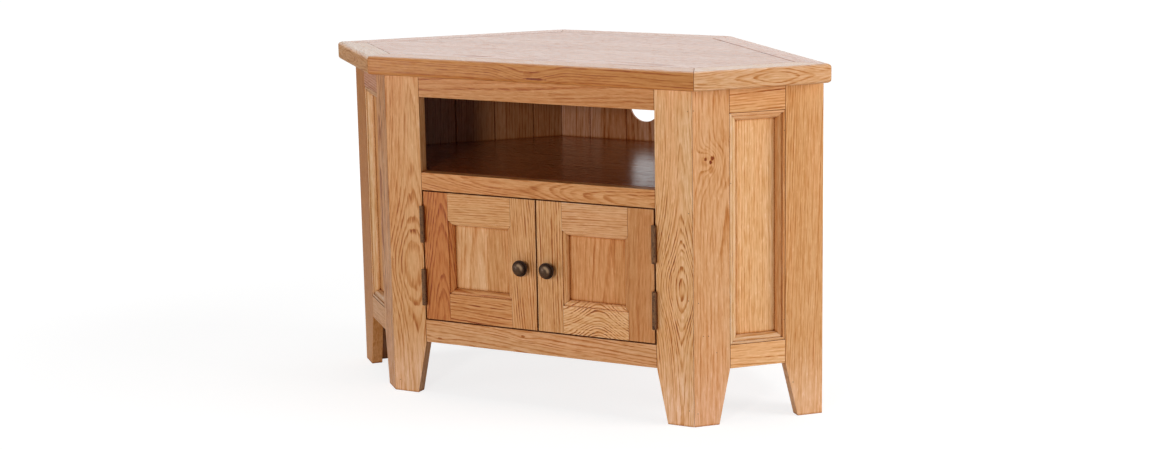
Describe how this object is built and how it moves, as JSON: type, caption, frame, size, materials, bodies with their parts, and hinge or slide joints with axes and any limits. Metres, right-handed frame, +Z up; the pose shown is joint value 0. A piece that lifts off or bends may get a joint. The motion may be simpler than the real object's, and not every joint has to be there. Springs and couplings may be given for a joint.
{
  "type": "corner tv cabinet",
  "caption": "Oak corner TV cabinet with a six-sided framed top, an open media bay with a cable hole, and a cupboard with panelled doors on butt hinges.",
  "frame": {"origin": "centre of the cabinet's footprint box, on the floor", "axes": "+X to the right along the front as seen by someone facing it, +Y from the front to the back corner, +Z up"},
  "size_m": [0.9544, 0.4756, 0.6],
  "materials": {
    "oak_frame": "satin lacquer",
    "oak_top": "satin lacquer",
    "oak_door": "satin lacquer",
    "oak_panel": "satin lacquer",
    "oak_boarding": "satin lacquer",
    "oak_shelf": "semi-gloss lacquer",
    "antique_bronze": "antiqued, dark, satin",
    "zinc_plate": "zinc plated",
    "catch_plastic": "moulded, matt"
  },
  "bodies": {
    "carcass": {"top_front_board": "oak_top", "top_right_side_board": "oak_top", "top_right_wall_board": "oak_top", "top_back_board": "oak_top", "top_left_wall_board": "oak_top", "top_left_side_board": "oak_top", "top_field_panel": "oak_top", "front_left_post_front_board": "oak_frame", "front_left_post_side_board": "oak_frame", "back_left_post_side_board": "oak_frame", "back_left_post_wall_board": "oak_frame", "front_right_post_front_board": "oak_frame", "front_right_post_side_board": "oak_frame", "back_right_post_side_board": "oak_frame", "back_right_post_wall_board": "oak_frame", "front_bottom_rail": "oak_frame", "front_middle_rail": "oak_frame", "front_top_rail": "oak_frame", "left_side_bottom_rail": "oak_frame", "left_side_top_rail": "oak_frame", "left_side_panel": "oak_panel", "left_side_moulding": "oak_frame", "left_wall_panel": "oak_boarding", "rear_left_foot": "oak_frame", "right_side_bottom_rail": "oak_frame", "right_side_top_rail": "oak_frame", "right_side_panel": "oak_panel", "right_side_moulding": "oak_frame", "right_wall_panel": "oak_boarding", "rear_right_foot": "oak_frame", "back_panel": "oak_boarding", "shelf": "oak_shelf", "floor_panel": "oak_shelf", "upper_left_hinge_post_leaf": "antique_bronze", "upper_left_hinge_pin": "antique_bronze", "lower_left_hinge_post_leaf": "antique_bronze", "lower_left_hinge_pin": "antique_bronze", "upper_right_hinge_post_leaf": "antique_bronze", "upper_right_hinge_pin": "antique_bronze", "lower_right_hinge_post_leaf": "antique_bronze", "lower_right_hinge_pin": "antique_bronze", "magnetic_catch": "catch_plastic"},
    "left_door": {"left_door_bottom_rail": "oak_door", "left_door_top_rail": "oak_door", "left_door_hinge_stile": "oak_door", "left_door_knob_stile": "oak_door", "left_door_panel": "oak_panel", "left_door_knob": "antique_bronze", "left_strike_plate": "zinc_plate", "upper_left_hinge_door_leaf": "antique_bronze", "lower_left_hinge_door_leaf": "antique_bronze"},
    "right_door": {"right_door_bottom_rail": "oak_door", "right_door_top_rail": "oak_door", "right_door_hinge_stile": "oak_door", "right_door_knob_stile": "oak_door", "right_door_panel": "oak_panel", "right_door_knob": "antique_bronze", "right_strike_plate": "zinc_plate", "upper_right_hinge_door_leaf": "antique_bronze", "lower_right_hinge_door_leaf": "antique_bronze"}
  },
  "joints": [
    {"name": "left_door_hinge", "type": "hinge", "parent": "carcass", "child": "left_door", "pos_m": [-0.222, -0.2143, 0.251], "axis": [0, 0, -1], "range_deg": [0, 180]},
    {"name": "right_door_hinge", "type": "hinge", "parent": "carcass", "child": "right_door", "pos_m": [0.222, -0.2143, 0.251], "axis": [0, 0, 1], "range_deg": [0, 180]}
  ]
}
